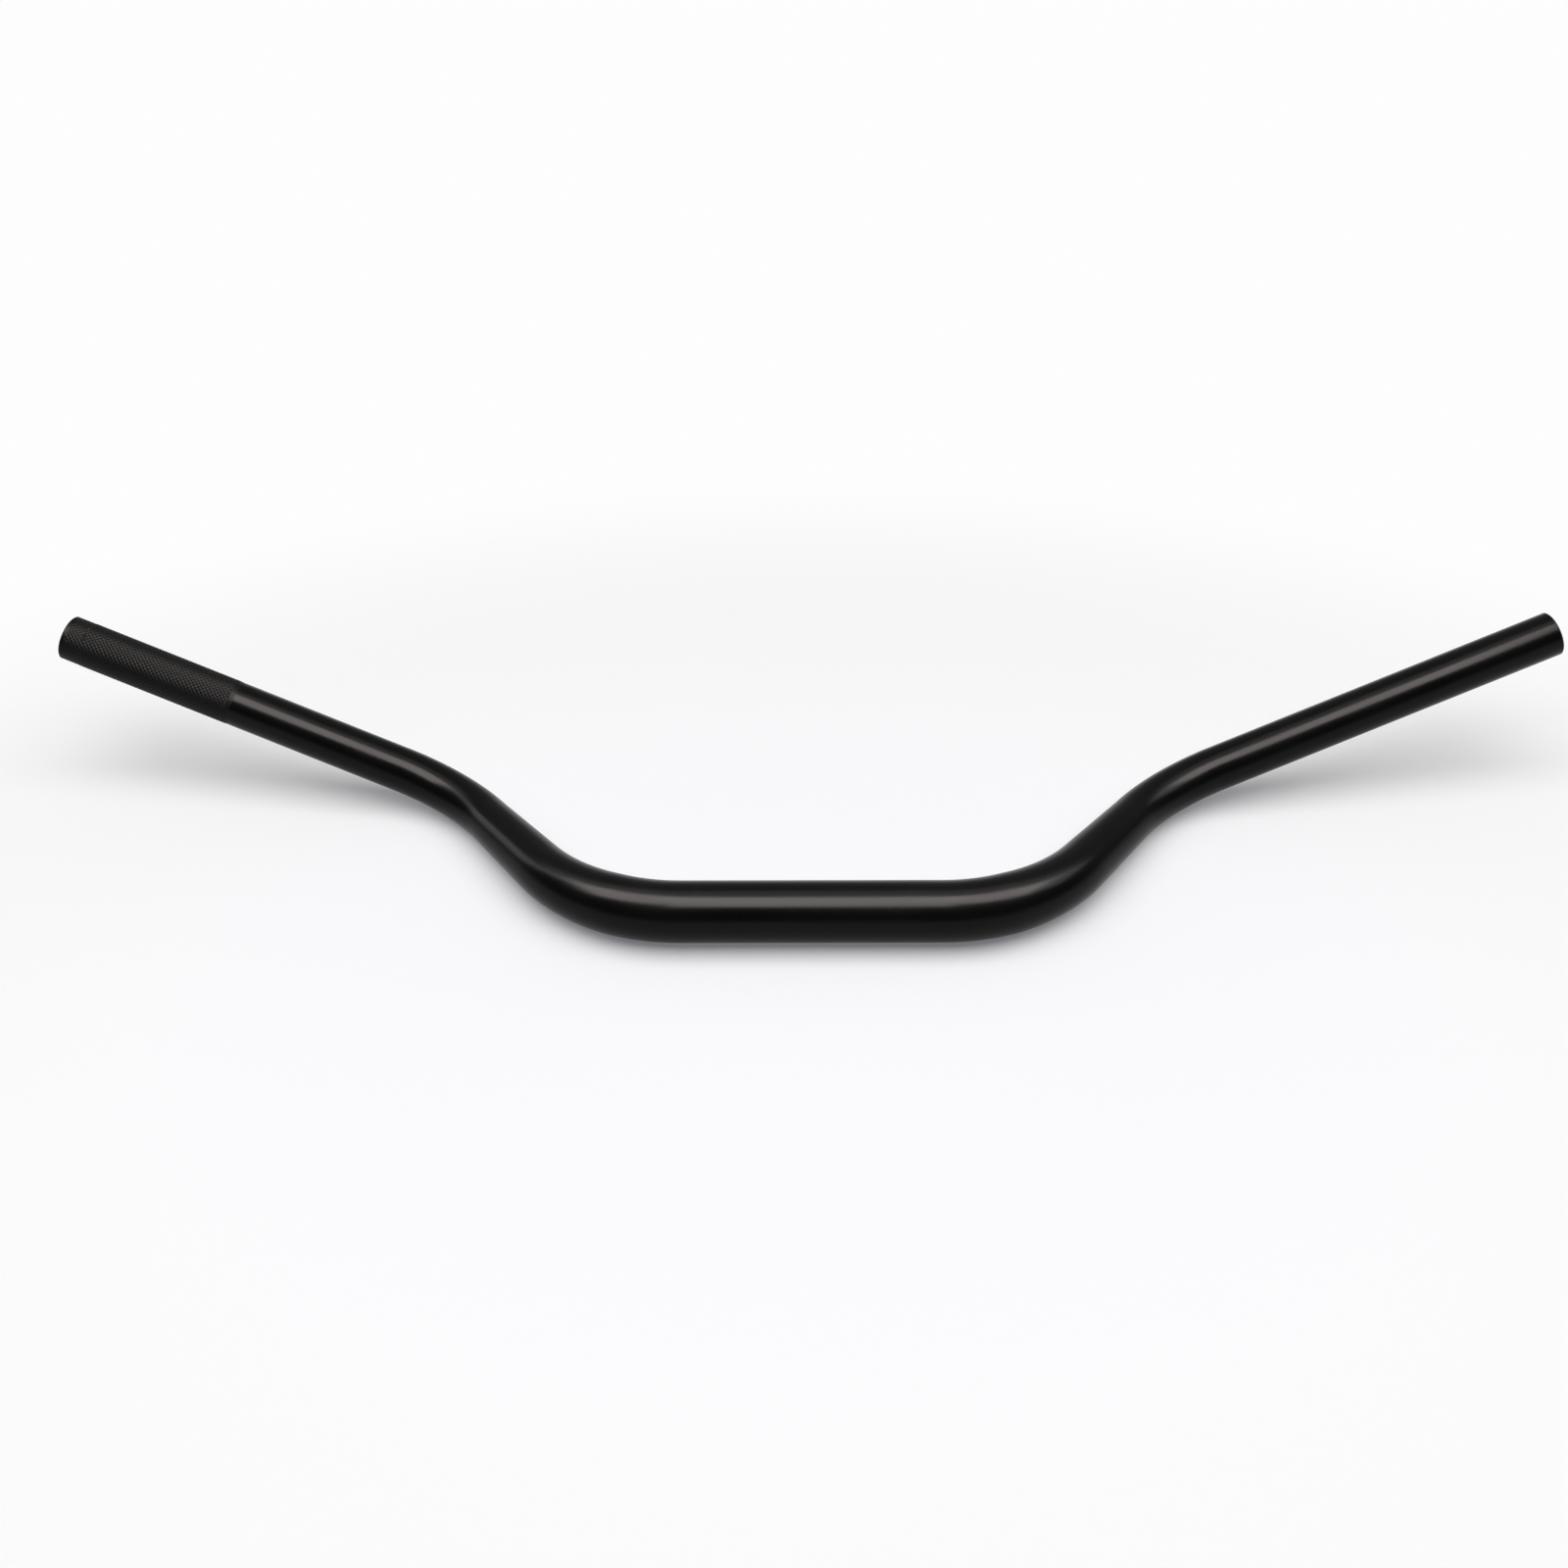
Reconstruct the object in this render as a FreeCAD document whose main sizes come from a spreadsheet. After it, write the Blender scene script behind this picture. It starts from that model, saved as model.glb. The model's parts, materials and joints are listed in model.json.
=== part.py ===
import FreeCAD, Part
import math
import os

import Sketcher

# A one-piece motocross handlebar: a single tapered aluminium tube, bent twice on each
# side of the thick straight that the bar clamps hold. It lies as it comes to rest, on the
# clamp straight and the two knees, with both grip ends clear of the floor.
#
# The origin is the middle of the clamp straight. +X runs along that straight towards the
# throttle side, +Y the way the risers lean, and +Z up. Millimetres and degrees.

SIZES = {
    # thick straight in the middle
    "clamp_diameter": "28.6",
    "clamp_straight": "120",
    # first bend and riser; the tube thins from a point in the bend to the riser's end
    "bend_one_radius": "85",
    "bend_one_angle": "52.5",
    "taper_start_angle": "21.5",
    "riser_straight": "47",
    # second bend, which turns back outwards, clocked about the riser to lift the grips
    "bend_two_radius": "76",
    "bend_two_angle": "42.5",
    "bend_two_clocking": "26.5",
    # straight end that takes the controls and the grip
    "grip_diameter": "22.2",
    "grip_straight": "179",
    "wall_thickness": "4",
    "end_chamfer": "0.6",
    # knurled band under the glued grip, on the clutch side only
    "knurl_setback": "8",
    "knurl_length": "80",
    "knurl_rise": "0.12",
}

doc = FreeCAD.newDocument("handlebar")
sheet = doc.addObject("Spreadsheet::Sheet", "sizes")
for row, (alias, value) in enumerate(SIZES.items(), start=1):
    sheet.set(f"A{row}", alias)
    sheet.set(f"B{row}", value)
    sheet.setAlias(f"B{row}", alias)
doc.recompute()

bar = doc.addObject("PartDesign::Body", "handlebar")
bar.Label = "handlebar"

ORIGIN = FreeCAD.Vector(0, 0, 0)
NORMAL = FreeCAD.Vector(0, 0, 1)

CLAMP_RADIUS = "sizes.clamp_diameter / 2"
CLAMP_BORE = f"({CLAMP_RADIUS} - sizes.wall_thickness)"
GRIP_RADIUS = "sizes.grip_diameter / 2"
GRIP_BORE = f"({GRIP_RADIUS} - sizes.wall_thickness)"
TAPER_BEND = "(sizes.bend_one_angle - sizes.taper_start_angle)"


def turn(axis, angle):
    """A turn on the spot, as a placement expression."""
    return f"placement(vector(0; 0; 0); rotation(vector({axis}); {angle}))"


def along_straight(length):
    """The move from the start of a straight run to its end."""
    return f"placement(vector({length}; 0; 0); rotation(vector(0; 0; 1); 0))"


def along_bend(radius, angle):
    """The move from the start of a bend to its end."""
    ahead = f"{radius} * sin({angle})"
    aside = f"{radius} * (1 - cos({angle}))"
    return f"placement(vector({ahead}; {aside}; 0); rotation(vector(0; 0; 1); {angle}))"


# Stations along the tube, each reached from the one before it. X points on along the tube,
# and Y to the centre of the bend that starts there.
CENTRE = along_straight("0")
TAPER_START = " * ".join((
    along_straight("sizes.clamp_straight / 2"),
    along_bend("sizes.bend_one_radius", "sizes.taper_start_angle"),
))
RISER_END = " * ".join((
    TAPER_START,
    along_bend("sizes.bend_one_radius", TAPER_BEND),
    along_straight("sizes.riser_straight"),
))
KNEE = f"{RISER_END} * {turn('1; 0; 0', '180 - sizes.bend_two_clocking')}"
LEFT_GRIP_END = " * ".join((
    turn("0; 1; 0", "180"),
    RISER_END,
    turn("1; 0; 0", "180 + sizes.bend_two_clocking"),
    along_bend("sizes.bend_two_radius", "sizes.bend_two_angle"),
    along_straight("sizes.grip_straight"),
))
ACROSS = turn("0; 1; 0", "90")

# Sketches are first drawn at these sizes, and the sheet then moves them to their own
FIRST_OUTER = 12.0
FIRST_BORE = 8.0
FIRST_RUN = 50.0
FIRST_BEND_RADIUS = 50.0
FIRST_BEND_ANGLE = math.radians(30)


def sketch_at(name, station):
    """A sketch of the bar, held at a station."""
    sketch = bar.newObject("Sketcher::SketchObject", name)
    sketch.setExpression("Placement", station)
    return sketch


def dimension(sketch, name, kind, *place, expression):
    """A named dimension in a sketch, tied to the sheet."""
    index = sketch.addConstraint(Sketcher.Constraint(kind, *place))
    sketch.renameConstraint(index, name)
    sketch.setExpression(f"Constraints.{name}", expression)


def tube_section(name, station, outer, bore):
    """The ring that the tube shows when it is cut across at a station."""
    sketch = sketch_at(name, f"{station} * {ACROSS}")
    rings = (("outer", FIRST_OUTER, outer), ("bore", FIRST_BORE, bore))
    for index, (edge, first_radius, radius) in enumerate(rings):
        sketch.addGeometry(Part.Circle(ORIGIN, NORMAL, first_radius), False)
        sketch.addConstraint(Sketcher.Constraint("Coincident", index, 3, -1, 1))
        dimension(sketch, edge, "Radius", index, first_radius, expression=radius)
    return sketch


def first_bend(start):
    """A bend as it is first drawn, leaving a point along X and turning towards Y."""
    circle = Part.Circle(start + FreeCAD.Vector(0, FIRST_BEND_RADIUS, 0), NORMAL, FIRST_BEND_RADIUS)
    foot = -math.pi / 2
    return Part.ArcOfCircle(circle, foot, foot + FIRST_BEND_ANGLE)


def run_then_bend(name, station, run, radius, angle):
    """A centreline that leaves a station straight and ends in a bend."""
    sketch = sketch_at(name, station)
    bend_start = FreeCAD.Vector(FIRST_RUN, 0, 0)
    sketch.addGeometry(Part.LineSegment(ORIGIN, bend_start), False)
    sketch.addGeometry(first_bend(bend_start), False)
    sketch.addConstraint(Sketcher.Constraint("Coincident", 0, 1, -1, 1))
    sketch.addConstraint(Sketcher.Constraint("PointOnObject", 0, 2, -1))
    sketch.addConstraint(Sketcher.Constraint("Tangent", 0, 2, 1, 1))
    dimension(sketch, "run", "Distance", 0, FIRST_RUN, expression=run)
    dimension(sketch, "bend_radius", "Radius", 1, FIRST_BEND_RADIUS, expression=radius)
    dimension(sketch, "bend_angle", "Angle", 1, FIRST_BEND_ANGLE, expression=f"{angle} * 1 deg")
    return sketch


def bend_then_run(name, station, radius, angle, run):
    """A centreline that bends from a station and ends in a straight run."""
    sketch = sketch_at(name, station)
    arc = first_bend(ORIGIN)
    ahead = FreeCAD.Vector(math.cos(FIRST_BEND_ANGLE), math.sin(FIRST_BEND_ANGLE), 0)
    sketch.addGeometry(arc, False)
    sketch.addGeometry(Part.LineSegment(arc.EndPoint, arc.EndPoint + ahead * FIRST_RUN), False)
    sketch.addConstraint(Sketcher.Constraint("Coincident", 0, 1, -1, 1))
    sketch.addConstraint(Sketcher.Constraint("PointOnObject", 0, 3, -2))
    sketch.addConstraint(Sketcher.Constraint("Tangent", 0, 2, 1, 1))
    dimension(sketch, "bend_radius", "Radius", 0, FIRST_BEND_RADIUS, expression=radius)
    dimension(sketch, "bend_angle", "Angle", 0, FIRST_BEND_ANGLE, expression=f"{angle} * 1 deg")
    dimension(sketch, "run", "Distance", 1, FIRST_RUN, expression=run)
    return sketch


def tube(name, section, path, end_section=None):
    """A stretch of tube: its section carried along its centreline, or thinned to another."""
    doc.recompute()
    stretch = bar.newObject("PartDesign::AdditivePipe", name)
    stretch.Profile = section
    stretch.Spine = (path, ["Edge1", "Edge2"])
    if end_section:
        stretch.Transformation = "Multisection"
        stretch.Sections = [end_section]
    doc.recompute()
    return stretch


# The right half of the tube, from the middle outwards
clamp_section = tube_section("clamp_section", CENTRE, CLAMP_RADIUS, CLAMP_BORE)
clamp_path = run_then_bend(
    "clamp_path", CENTRE, "sizes.clamp_straight / 2", "sizes.bend_one_radius", "sizes.taper_start_angle"
)
clamp_tube = tube("clamp_tube", clamp_section, clamp_path)

thick_section = tube_section("thick_section", TAPER_START, CLAMP_RADIUS, CLAMP_BORE)
thin_section = tube_section("thin_section", RISER_END, GRIP_RADIUS, GRIP_BORE)
riser_path = bend_then_run(
    "riser_path", TAPER_START, "sizes.bend_one_radius", TAPER_BEND, "sizes.riser_straight"
)
riser_tube = tube("riser_tube", thick_section, riser_path, thin_section)

knee_section = tube_section("knee_section", KNEE, GRIP_RADIUS, GRIP_BORE)
grip_path = bend_then_run(
    "grip_path", KNEE, "sizes.bend_two_radius", "sizes.bend_two_angle", "sizes.grip_straight"
)
grip_tube = tube("grip_tube", knee_section, grip_path)

# The left half mirrors the right across the middle of the clamp straight
middle_plane = next(plane for plane in bar.Origin.OriginFeatures if plane.Role == "YZ_Plane")
both_halves = bar.newObject("PartDesign::Mirrored", "both_halves")
both_halves.Originals = [clamp_tube, riser_tube, grip_tube]
both_halves.MirrorPlane = (middle_plane, [""])
bar.Tip = both_halves
doc.recompute()

# The knurled band stands a little proud of the left grip straight. Its profile runs inwards
# from the bar's end, with the tube's axis as its X axis and its root sunk in the wall.
knurl_profile = sketch_at("knurl_profile", f"{LEFT_GRIP_END} * {turn('0; 0; 1', '180')}")
first_setback, first_length = 5.0, 45.0
first_root, first_crest = 5.0, 10.0
near, far = first_setback, first_setback + first_length
outline = ((near, first_root), (far, first_root), (far, first_crest), (near, first_crest))
corners = [FreeCAD.Vector(x, y, 0) for x, y in outline]
for side, corner in enumerate(corners):
    knurl_profile.addGeometry(Part.LineSegment(corner, corners[(side + 1) % len(corners)]), False)
for side in range(len(corners)):
    knurl_profile.addConstraint(Sketcher.Constraint("Coincident", side, 2, (side + 1) % len(corners), 1))
    direction = "Vertical" if side % 2 else "Horizontal"
    knurl_profile.addConstraint(Sketcher.Constraint(direction, side))
knurl_root = f"{GRIP_RADIUS} - sizes.wall_thickness / 2"
knurl_crest = f"{GRIP_RADIUS} + sizes.knurl_rise"
dimension(knurl_profile, "setback", "DistanceX", -1, 1, 0, 1, first_setback, expression="sizes.knurl_setback")
dimension(knurl_profile, "length", "DistanceX", 0, 1, 0, 2, first_length, expression="sizes.knurl_length")
dimension(knurl_profile, "root", "DistanceY", -1, 1, 0, 1, first_root, expression=knurl_root)
dimension(knurl_profile, "crest", "DistanceY", -1, 1, 2, 1, first_crest, expression=knurl_crest)
doc.recompute()
knurl_band = bar.newObject("PartDesign::Revolution", "knurl_band")
knurl_band.Profile = knurl_profile
knurl_band.ReferenceAxis = (knurl_profile, ["H_Axis"])
knurl_band.Angle = 360
doc.recompute()

# Both cut ends are chamfered, outside and in the bore
end_centres = [knurl_profile.Placement.Base]
end_centres.append(FreeCAD.Vector(-end_centres[0].x, end_centres[0].y, end_centres[0].z))
SAME_PLACE = 1e-4


def is_end_rim(edge):
    """Whether an edge is a circle round the centre of one of the cut ends."""
    if edge.Curve.TypeId != "Part::GeomCircle":
        return False
    return any(edge.Curve.Center.isEqual(centre, SAME_PLACE) for centre in end_centres)


rims = [f"Edge{n}" for n, edge in enumerate(knurl_band.Shape.Edges, start=1) if is_end_rim(edge)]
rim_chamfers = bar.newObject("PartDesign::Chamfer", "rim_chamfers")
rim_chamfers.Base = (knurl_band, rims)
rim_chamfers.setExpression("Size", "sizes.end_chamfer")
bar.Tip = rim_chamfers

# The bar leans forward by the small angle that brings its thinner knees down to the floor,
# on which the thick tube lies where its taper starts.
taper_to_knee = (
    "(sizes.bend_one_radius * (cos(sizes.taper_start_angle) - cos(sizes.bend_one_angle))"
    " + sizes.riser_straight * sin(sizes.bend_one_angle))"
)
rest_lean = f"atan(({CLAMP_RADIUS} - {GRIP_RADIUS}) / {taper_to_knee})"
bar.setExpression("Placement", turn("1; 0; 0", f"-{rest_lean}"))
doc.recompute()

for item in doc.Objects:
    if "Invalid" in item.State or "Error" in item.State:
        raise RuntimeError(f"{item.Name} failed: {item.State}")
if bar.Shape.isNull() or not bar.Shape.isValid() or len(bar.Shape.Solids) != 1:
    raise RuntimeError("the handlebar is not one sound solid")

os.makedirs("parts", exist_ok=True)
bar.Shape.exportStep(f"parts/{bar.Label}.step")

box = bar.Shape.optimalBoundingBox()
print(f"handlebar: {box.XLength:.1f} x {box.YLength:.1f} x {box.ZLength:.1f} mm, lowest point {box.ZMin:.2f}")
print(f"volume {bar.Shape.Volume:.0f} mm3, {len(rims)} rims chamfered")
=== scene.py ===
import json
import math

import bmesh
import bpy
from mathutils import Matrix, Vector


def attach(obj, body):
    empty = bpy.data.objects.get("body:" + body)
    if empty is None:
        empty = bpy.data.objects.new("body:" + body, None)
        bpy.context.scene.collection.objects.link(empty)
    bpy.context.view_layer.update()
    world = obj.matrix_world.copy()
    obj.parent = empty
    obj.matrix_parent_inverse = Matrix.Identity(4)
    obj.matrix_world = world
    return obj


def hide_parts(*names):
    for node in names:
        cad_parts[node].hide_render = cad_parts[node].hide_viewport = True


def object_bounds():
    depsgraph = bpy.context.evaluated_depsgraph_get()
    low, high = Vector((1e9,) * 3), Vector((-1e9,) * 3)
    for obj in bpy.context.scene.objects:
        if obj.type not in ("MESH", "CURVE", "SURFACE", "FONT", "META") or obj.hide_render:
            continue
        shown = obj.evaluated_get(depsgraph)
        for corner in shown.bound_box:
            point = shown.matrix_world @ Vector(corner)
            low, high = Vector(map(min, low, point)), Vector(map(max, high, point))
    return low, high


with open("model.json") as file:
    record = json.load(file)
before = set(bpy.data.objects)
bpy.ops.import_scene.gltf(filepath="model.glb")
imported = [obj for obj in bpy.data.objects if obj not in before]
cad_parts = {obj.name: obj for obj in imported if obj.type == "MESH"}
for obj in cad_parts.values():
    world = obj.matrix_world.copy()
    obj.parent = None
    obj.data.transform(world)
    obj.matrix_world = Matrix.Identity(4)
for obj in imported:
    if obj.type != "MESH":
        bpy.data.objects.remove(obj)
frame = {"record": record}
cad_low, cad_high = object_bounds()


# The bar is one drawn aluminium tube, thick in the middle where the clamps hold it and
# swaged thin towards the grips. A tube bender gives each side two bends: out of the clamp
# into the riser, and back outwards, clocked so that the grip lifts, into the grip straight.
MM = 0.001
seats = {mount["name"]: mount for mount in frame["record"]["mounts"]}
clamp_radius = seats["clamp_seat"]["dims"]["r_mm"] * MM
clamp_half = seats["clamp_seat"]["dims"]["length_mm"] * MM / 2
grip_radius = seats["right_control_seat"]["dims"]["r_mm"] * MM
wall = grip_radius - seats["right_end_bore"]["dims"]["r_mm"] * MM
bend_one_radius = 85 * MM
bend_one_angle = math.radians(52.5)
taper_start_angle = math.radians(21.5)
riser_length = 47 * MM
bend_two_radius = 76 * MM
bend_two_angle = math.radians(42.5)
bend_two_clocking = math.radians(26.5)
grip_length = 179 * MM
rim_chamfer = 0.6 * MM
knurl_setback = 8 * MM
knurl_length = 80 * MM
knurl_runout = 2.3 * MM
plain_length = grip_length - knurl_setback - knurl_length - knurl_runout
bare_tip = 1.0 * MM
knurl_reach = grip_length - plain_length - bare_tip

points_round = 90
bend_step = math.radians(1.25)
touching = 0.01 * MM


def straight(length):
    return Matrix.Translation((length, 0, 0))


def bend(radius, angle):
    moved = Vector((radius * math.sin(angle), radius * (1 - math.cos(angle)), 0))
    return Matrix.Translation(moved) @ Matrix.Rotation(angle, 4, "Z")


def thin_rim(station, share):
    bpy.ops.transform.resize(value=(share, share, share), center_override=station.translation)


def draw_straight(station, length, steps=1, radii=(1, 1)):
    """Draws the selected rim out along the tube and returns the station where it ends."""
    for step in range(steps):
        shift = station.to_3x3() @ Vector((length / steps, 0, 0))
        bpy.ops.mesh.extrude_region_move(TRANSFORM_OT_translate={"value": shift})
        station = station @ straight(length / steps)
        grown = (radii[1] - radii[0]) / steps
        before = radii[0] + grown * step
        thin_rim(station, (before + grown) / before)
    return station


def draw_bend(station, radius, angle, radii=(1, 1)):
    """Turns the selected rim round a bend and returns the station where it ends."""
    steps = math.ceil(angle / bend_step)
    for step in range(steps):
        centre = station @ Vector((0, radius, 0))
        axis = station.to_3x3() @ Vector((0, 0, 1))
        bpy.ops.mesh.spin(steps=1, angle=-angle / steps, center=centre, axis=axis)
        station = station @ bend(radius, angle / steps)
        grown = (radii[1] - radii[0]) / steps
        before = radii[0] + grown * step
        thin_rim(station, (before + grown) / before)
    return station


bpy.ops.object.select_all(action="DESELECT")
bpy.ops.mesh.primitive_circle_add(
    vertices=points_round, radius=clamp_radius, rotation=(0, math.pi / 2, 0))
bar = bpy.context.object
bar.name = "handlebar_tube"
bpy.ops.object.transform_apply(rotation=True)
bpy.ops.object.mode_set(mode="EDIT")
bpy.ops.mesh.select_all(action="SELECT")

# The taper runs evenly over the rest of the first bend and the riser
taper_bend = bend_one_angle - taper_start_angle
taper_length = bend_one_radius * taper_bend + riser_length
thinned = bend_one_radius * taper_bend / taper_length
bend_end_radius = clamp_radius + (grip_radius - clamp_radius) * thinned
station = draw_straight(Matrix.Identity(4), clamp_half, steps=4)
station = draw_bend(station, bend_one_radius, taper_start_angle)
station = draw_bend(station, bend_one_radius, taper_bend, (clamp_radius, bend_end_radius))
station = draw_straight(station, riser_length, steps=10, radii=(bend_end_radius, grip_radius))
station = station @ Matrix.Rotation(math.pi - bend_two_clocking, 4, "X")
station = draw_bend(station, bend_two_radius, bend_two_angle)
grip_start = station.copy()
station = draw_straight(station, plain_length, steps=4)
station = draw_straight(station, knurl_reach, steps=2)
draw_straight(station, bare_tip)
bpy.ops.object.mode_set(mode="OBJECT")

# The other half is its mirror image, and the wall is laid inwards from the skin
bpy.ops.object.modifier_add(type="MIRROR")
bar.modifiers["Mirror"].merge_threshold = touching
bpy.ops.object.modifier_apply(modifier="Mirror")
bpy.ops.object.mode_set(mode="EDIT")
bpy.ops.mesh.select_all(action="SELECT")
bpy.ops.mesh.normals_make_consistent(inside=False)
bpy.ops.object.mode_set(mode="OBJECT")
bpy.ops.object.modifier_add(type="SOLIDIFY")
bar.modifiers["Solidify"].thickness = wall
bar.modifiers["Solidify"].offset = -1
bar.modifiers["Solidify"].use_even_offset = True
bpy.ops.object.modifier_apply(modifier="Solidify")


def side_view(point):
    """The point as the right half sees it: distance along the grip straight, and off its axis."""
    mirrored = Vector((abs(point.x), point.y, point.z))
    local = grip_start.inverted() @ mirrored
    return local.x, math.hypot(local.y, local.z)


def pick(piece, kind, wanted):
    """Selects only the wanted vertices, edges or faces of the piece in edit mode."""
    bpy.ops.mesh.select_all(action="DESELECT")
    bpy.ops.mesh.select_mode(type=kind)
    shape = bmesh.from_edit_mesh(piece.data)
    parts = {"VERT": shape.verts, "EDGE": shape.edges, "FACE": shape.faces}[kind]
    for part in parts:
        if wanted(part):
            part.select_set(True)
    bmesh.update_edit_mesh(piece.data)


# Both ends are cut square and lightly chamfered, inside and out
def is_rim(edge):
    spots = [side_view(end.co) for end in edge.verts]
    at_end = all(abs(along - grip_length) < touching for along, off in spots)
    return at_end and abs(spots[0][1] - spots[1][1]) < touching


bpy.ops.object.mode_set(mode="EDIT")
pick(bar, "EDGE", is_rim)
bpy.ops.mesh.bevel(offset_type="OFFSET", offset=rim_chamfer, segments=1, affect="EDGES")
bpy.ops.object.mode_set(mode="OBJECT")


# The knurl is rolled into the left grip straight so that glue holds the grip there. Two sets
# of crossing grooves leave rows of flat-topped diamonds, standing a little proud of the tube.
# At the inner edge and on the last stretch before the tip the crests are level with the tube.
knurl_round = 30
knurl_rows = 39
knurl_row = knurl_reach / knurl_rows
knurl_height = 0.12 * MM
knurl_crest = grip_radius + knurl_height
knurl_root = grip_radius - knurl_height
knurl_depth = knurl_crest - knurl_root
knurl_flank = 0.5 * MM
level_rows = math.ceil(knurl_setback / knurl_row)
level_root_share = 1.8

bpy.ops.object.select_all(action="DESELECT")
bpy.ops.mesh.primitive_circle_add(vertices=knurl_round, radius=knurl_root)
knurl = bpy.context.object
bpy.ops.object.mode_set(mode="EDIT")
bpy.ops.mesh.select_all(action="SELECT")
for row in range(knurl_rows):
    bpy.ops.mesh.extrude_region_move(TRANSFORM_OT_translate={"value": (0, 0, knurl_row)})
bpy.ops.mesh.select_all(action="SELECT")
bpy.ops.mesh.poke()

# The middles that poke puts on the flats are drawn out to the round
flat_sag = math.cos(math.pi / knurl_round)


def is_between(corner):
    return math.hypot(corner.co.x, corner.co.y) < knurl_root * (1 + flat_sag) / 2


pick(knurl, "VERT", is_between)
bpy.ops.transform.resize(value=(1 / flat_sag, 1 / flat_sag, 1), center_override=(0, 0, 0))


# Without the square edges the triangles pair up as diamonds, each then raised from its grooves
def is_square_edge(edge):
    along = abs(edge.verts[0].co.z - edge.verts[1].co.z)
    square = along < touching or along > knurl_row - touching
    return square and not edge.is_boundary


pick(knurl, "EDGE", is_square_edge)
bpy.ops.mesh.dissolve_edges(use_verts=False)
pick(knurl, "FACE", lambda face: len(face.verts) == 4)
bpy.ops.mesh.inset(thickness=knurl_flank, depth=knurl_depth, use_individual=True)


def press_row(low, crest_share, root_share):
    """Sets the crests and roots of one row to these shares of their height off the plain tube."""
    for level, share in ((knurl_crest, crest_share), (knurl_root, root_share)):
        def in_row(corner):
            at_level = abs(math.hypot(corner.co.x, corner.co.y) - level) < knurl_depth / 4
            return at_level and low - touching <= corner.co.z < low + knurl_row - touching

        pick(knurl, "VERT", in_row)
        drawn = (grip_radius + (level - grip_radius) * share) / level
        bpy.ops.transform.resize(value=(drawn, drawn, 1), center_override=(0, 0, 0))


press_row(0, crest_share=0, root_share=1)
press_row(knurl_reach, crest_share=0, root_share=0)
for row in range(1, level_rows + 1):
    press_row(knurl_reach - row * knurl_row, crest_share=0, root_share=level_root_share)
bpy.ops.object.mode_set(mode="OBJECT")

# A mark on the points tells the finish where the surface is rolled
marks = knurl.data.attributes.new("rolled", "FLOAT", "POINT")
for mark in marks.data:
    mark.value = 1
bar.data.attributes.new("rolled", "FLOAT", "POINT")

left_side = Matrix.Scale(-1, 4, (1, 0, 0))
knurl_foot = left_side @ grip_start @ Vector((plain_length, 0, 0))
knurl_axis = (left_side @ grip_start).to_3x3() @ Vector((1, 0, 0))
knurl_turn = knurl_axis.to_track_quat("Z", "Y").to_matrix().to_4x4()
knurl.matrix_world = Matrix.Translation(knurl_foot) @ knurl_turn
bpy.ops.object.transform_apply(location=True, rotation=True)


# The plain skin under the knurl is cut away and the knurl's two edges are joined to it
knurl_end = plain_length + knurl_reach


def is_under_knurl(face):
    spots = [side_view(corner.co) for corner in face.verts]
    between = all(plain_length - touching < along < knurl_end + touching for along, off in spots)
    outside = all(off > grip_radius - touching for along, off in spots)
    return between and outside and face.calc_center_median().x < 0


bpy.ops.object.select_all(action="DESELECT")
bar.select_set(True)
bpy.context.view_layer.objects.active = bar
bpy.ops.object.mode_set(mode="EDIT")
pick(bar, "FACE", is_under_knurl)
bpy.ops.mesh.delete(type="FACE")
bpy.ops.object.mode_set(mode="OBJECT")
knurl.select_set(True)
bpy.ops.object.join()
bpy.ops.object.mode_set(mode="EDIT")
for seam in (plain_length, knurl_end):
    def is_seam(edge):
        ends = [side_view(corner.co)[0] for corner in edge.verts]
        return edge.is_boundary and all(abs(along - seam) < knurl_row / 4 for along in ends)

    pick(bar, "EDGE", is_seam)
    bpy.ops.mesh.bridge_edge_loops()
bpy.ops.object.mode_set(mode="OBJECT")

# At rest the bar lies on its clamp and its knees, so it is tipped forwards on the floor
taper_reach = bend_one_radius * (math.cos(taper_start_angle) - math.cos(bend_one_angle))
knee_reach = taper_reach + riser_length * math.sin(bend_one_angle)
lean = math.atan((clamp_radius - grip_radius) / knee_reach)
sharp_edge = math.radians(30)
bar.rotation_euler.x = -lean
bpy.ops.object.transform_apply(rotation=True)
bpy.ops.object.shade_smooth_by_angle(angle=sharp_edge)


class Finish:
    """A socket of a material, so that sums on it are written as plain expressions."""

    def __init__(self, tree, socket=None):
        self.tree = tree
        self.socket = socket

    def node(self, kind, settings=None, inputs=None, output=0):
        made = self.tree.nodes.new(kind)
        for name, value in (settings or {}).items():
            setattr(made, name, value)
        for name, value in (inputs or {}).items():
            if isinstance(value, Finish):
                self.tree.links.new(value.socket, made.inputs[name])
            else:
                made.inputs[name].default_value = value
        return Finish(self.tree, made.outputs[output] if made.outputs else None)

    def smooth(self, start, end, least=0.0):
        """Rises smoothly from the least value to one as this value goes from start to end."""
        return self.node("ShaderNodeMapRange", {"interpolation_type": "SMOOTHSTEP"},
                         {"Value": self, "From Min": start, "From Max": end, "To Min": least})

    def blend(self, first, second):
        """Goes from the first colour to the second as this value goes from nought to one."""
        return self.node("ShaderNodeMix", {"data_type": "RGBA"}, {"Factor": self, 6: first, 7: second}, 2)

    def maths(self, operation, left, right):
        return self.node("ShaderNodeMath", {"operation": operation}, {0: left, 1: right})

    def __add__(self, other):
        return self.maths("ADD", self, other)

    def __radd__(self, other):
        return self.maths("ADD", other, self)

    def __mul__(self, other):
        return self.maths("MULTIPLY", self, other)

    def __rmul__(self, other):
        return self.maths("MULTIPLY", other, self)


def new_finish(name):
    material = bpy.data.materials.new(name)
    material.use_nodes = True
    material.node_tree.nodes.clear()
    return material, Finish(material.node_tree)


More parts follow.
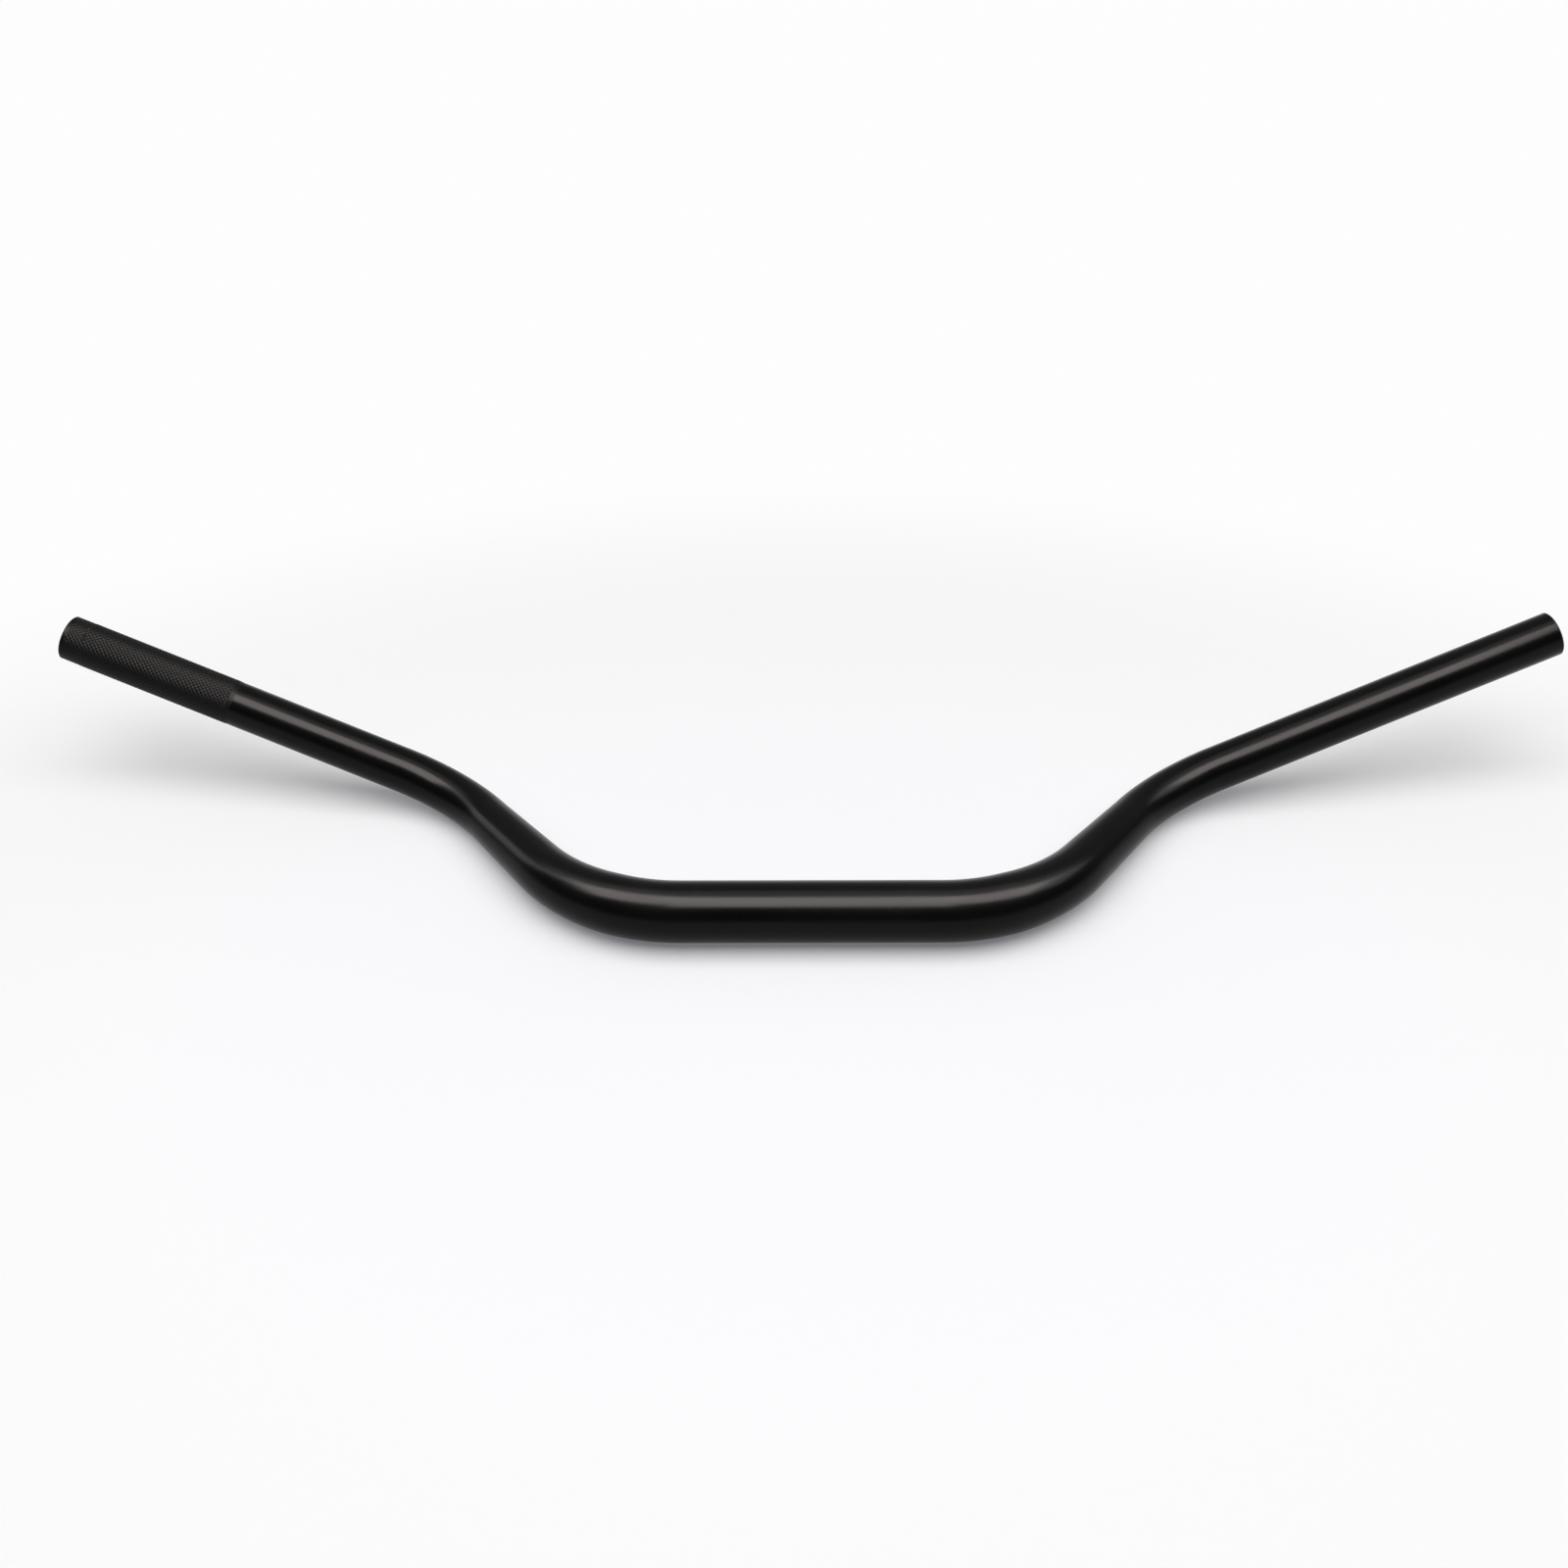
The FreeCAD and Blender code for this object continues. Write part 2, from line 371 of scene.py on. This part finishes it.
# The tube is lightly bead blasted and anodised black. The black is uneven in soft clouds,
# finely dented by the blasting, and duller where the knurl is rolled.
cool_black = (0.0021, 0.0021, 0.0022, 1)
warm_black = (0.0028, 0.0027, 0.0027, 1)
cloud_scale = 35
blast_scale = 2600
blast_depth = 0.02 * MM
blast_strength = 0.12
smoothest = 0.14
cloud_dulls = 0.14
blast_dulls = 0.04
rolling_dulls = 0.18
gloss_index = 1.2
anodised, tree = new_finish("black_anodised_aluminium")
place = tree.node("ShaderNodeTexCoord", output="Object")
cloud = tree.node("ShaderNodeTexNoise", {}, {"Vector": place, "Scale": cloud_scale, "Detail": 3}, "Fac")
blast = tree.node("ShaderNodeTexNoise", {}, {"Vector": place, "Scale": blast_scale, "Detail": 2}, "Fac")
rolled = tree.node("ShaderNodeAttribute", {"attribute_name": "rolled"}, {}, "Fac")
dents = tree.node("ShaderNodeBump", {},
                  {"Height": blast, "Strength": blast_strength, "Distance": blast_depth}, "Normal")
surface = tree.node("ShaderNodeBsdfPrincipled", {}, {
    "Base Color": cloud.blend(cool_black, warm_black),
    "Roughness": smoothest + cloud_dulls * cloud + blast_dulls * blast + rolling_dulls * rolled,
    "IOR": gloss_index,
    "Normal": dents,
})
tree.node("ShaderNodeOutputMaterial", {}, {"Surface": surface})
bar.data.materials.append(anodised)
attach(bar, "root")
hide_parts("handlebar")


# The floor is a sheet of white card that the bar lies on. Round the bar it takes the light
# and the bar's shadow, with a faint bluish glow mixed in: painted fill light that lifts the
# shadow and tints it blue. The card is also painted lighter away from the bar, painted light
# that makes up for the overhead panel's light falling off. Further out it fades into an even
# white, and far off into the room.
floor_half = 20.0
horizon_front = 0.55
horizon_gain = 0.36
rear_wall_span = (-0.3, 0.7)
card_near = (0.865, 0.865, 0.88, 1)
# The far card colour is painted lighter, painted light that makes up for the overhead panel's light
# falling off away from the bar.
card_painted_lighter = (0.92, 0.92, 0.925, 1)
# The near glow colour is painted fill light: bluish, it lifts the bar's shadow on the card and tints it
# blue.
painted_shadow_fill = (0.9, 0.905, 0.97, 1)
glow_far = (0.985, 0.985, 0.985, 1)
lit_shift = (0, 0.12, 0)
lit_scale = (1.8, 2.5, 0)
tone_span = (0.2, 1.0)
glow_span = (0.7, 1.2)
room_span = (1.8, 12.0)
# The share of glow kept round the bar is painted light that lifts the shadow there.
painted_shadow_lift = 0.17
bpy.ops.object.select_all(action="DESELECT")
bpy.ops.mesh.primitive_plane_add(size=2 * floor_half, location=(0, 0, cad_low.z))
floor = bpy.context.object
floor.name = "floor"
bpy.ops.object.transform_apply(location=True)
card, tree = new_finish("white_card")
place = tree.node("ShaderNodeTexCoord", output="Object")
spread = tree.node("ShaderNodeMapping", {}, {"Vector": place, "Location": lit_shift, "Scale": lit_scale})
round_bar = tree.node("ShaderNodeVectorMath", {"operation": "LENGTH"}, {0: spread}, "Value")
away = tree.node("ShaderNodeVectorMath", {"operation": "LENGTH"}, {0: place}, "Value")
way = tree.node("ShaderNodeVectorMath", {"operation": "NORMALIZE"}, {0: place}, "Vector")
back = tree.node("ShaderNodeSeparateXYZ", {}, {"Vector": way}, "Y")
# This mask spreads the painted light: it grows away from the bar, lightening the card and fading out the
# bluish fill.
painted_light_spread = round_bar.smooth(*tone_span)
horizon = horizon_front + horizon_gain * back.smooth(*rear_wall_span)
glow = away.smooth(*room_span).blend(painted_light_spread.blend(painted_shadow_fill, glow_far), horizon)
# The card is painted lighter further out, where the overhead light falls off.
lit = tree.node("ShaderNodeBsdfDiffuse", {}, {"Color": painted_light_spread.blend(card_near, card_painted_lighter)})
# Round the bar this glow is painted fill light in the shadow; further out it is the even white.
even_white_and_painted_fill = tree.node("ShaderNodeEmission", {}, {"Color": glow, "Strength": 1})
fade = round_bar.smooth(*glow_span, least=painted_shadow_lift)
surface = tree.node("ShaderNodeMixShader", {}, {0: fade, 1: lit, 2: even_white_and_painted_fill})
tree.node("ShaderNodeOutputMaterial", {}, {"Surface": surface})
floor.data.materials.append(card)


# The studio light is soft. A wide panel overhead lights the floor and casts the shadow, and
# what the gloss shows is a soft box over the middle and over each arm, a dim panel behind them
# and one at each side. The room is dim in front, lighter at the back and pale at the horizon.
def add_panel(name, spot, turn, colour, width, depth, radiance):
    lamp = bpy.data.lights.new(name, "AREA")
    lamp.shape = "RECTANGLE"
    lamp.size = width
    lamp.size_y = depth
    lamp.energy = radiance * math.pi * width * depth
    lamp.color = colour
    hung = bpy.data.objects.new(name, lamp)
    hung.matrix_world = Matrix.Translation(spot) @ turn
    hung.visible_camera = False
    bpy.context.collection.objects.link(hung)
    return hung


flat = Matrix.Identity(4)
swept = math.radians(12)
left_turn = Matrix.Rotation(-swept, 4, "Z")
right_turn = Matrix.Rotation(swept, 4, "Z")
facing_left = Matrix.Rotation(math.pi / 2, 4, "Y")
facing_right = Matrix.Rotation(-math.pi / 2, 4, "Y")
leaning = Matrix.Rotation(math.radians(-15), 4, "Z") @ Matrix.Rotation(math.radians(14), 4, "X")
daylight = (1.0, 0.99, 0.985)
warm = (1.0, 0.93, 0.9)
plain = (1.0, 1.0, 1.0)
overhead = add_panel("overhead_panel", (0, -0.1, 0.9), flat, daylight,
                     width=1.8, depth=1.0, radiance=2.47)
overhead.visible_glossy = False
for panel in (
    add_panel("middle_soft_box", (0, -0.09, 0.33), flat, warm,
              width=0.22, depth=0.23, radiance=14.2),
    add_panel("left_soft_box", (-0.281, -0.03, 0.44), left_turn, warm,
              width=0.33, depth=0.27, radiance=13.8),
    add_panel("right_soft_box", (0.281, -0.04, 0.44), right_turn, warm,
              width=0.33, depth=0.255, radiance=13.8),
    add_panel("rear_panel", (0, 0.05, 0.4), flat, warm,
              width=1.0, depth=0.4, radiance=1.9),
    add_panel("left_panel", (-0.73, 0.19, 0.55), leaning @ facing_right, plain,
              width=0.9, depth=0.17, radiance=3.6),
    add_panel("right_panel", (0.6, 0.08, 0.65), facing_left, plain,
              width=0.55, depth=0.33, radiance=3.6),
):
    panel.visible_diffuse = False

room_front = 0.05
skirting_span = (0.2, 0.05)
world = bpy.data.worlds.new("studio")
world.use_nodes = True
world.node_tree.nodes.clear()
tree = Finish(world.node_tree)
way = tree.node("ShaderNodeTexCoord", output="Generated")
back = tree.node("ShaderNodeSeparateXYZ", {}, {"Vector": way}, "Y")
up = tree.node("ShaderNodeSeparateXYZ", {}, {"Vector": way}, "Z")
rear_wall = back.smooth(*rear_wall_span)
skirting = up.smooth(*skirting_span)
tone = room_front + horizon_gain * rear_wall + (horizon_front - room_front) * skirting
room = tree.node("ShaderNodeBackground", {}, {"Color": tone, "Strength": 1})
tree.node("ShaderNodeOutputWorld", {}, {"Surface": room})
bpy.context.scene.world = world
bpy.context.scene.view_settings.view_transform = "Standard"


# The camera stands in front of the bar, a few millimetres left of its middle, and looks
# down on it, turned a touch off level, as it was held for the photograph.
view_height = math.radians(38.298)
view_turn = math.radians(0.393)
view_roll = math.radians(-0.366)
view_aim = Vector((-12.34, 36.03, 45.73)) * MM
view_distance = 894.75 * MM
lens = bpy.data.cameras.new("camera")
lens.sensor_width = 36
lens.lens = 45
lens.clip_start = 0.01
camera = bpy.data.objects.new("camera", lens)
bpy.context.collection.objects.link(camera)
aimed = Matrix.Rotation(view_turn, 4, "Z") @ Matrix.Rotation(math.pi / 2 - view_height, 4, "X")
aimed = aimed @ Matrix.Rotation(view_roll, 4, "Z")
camera.matrix_world = Matrix.Translation(view_aim) @ aimed @ Matrix.Translation((0, 0, view_distance))
bpy.context.scene.camera = camera
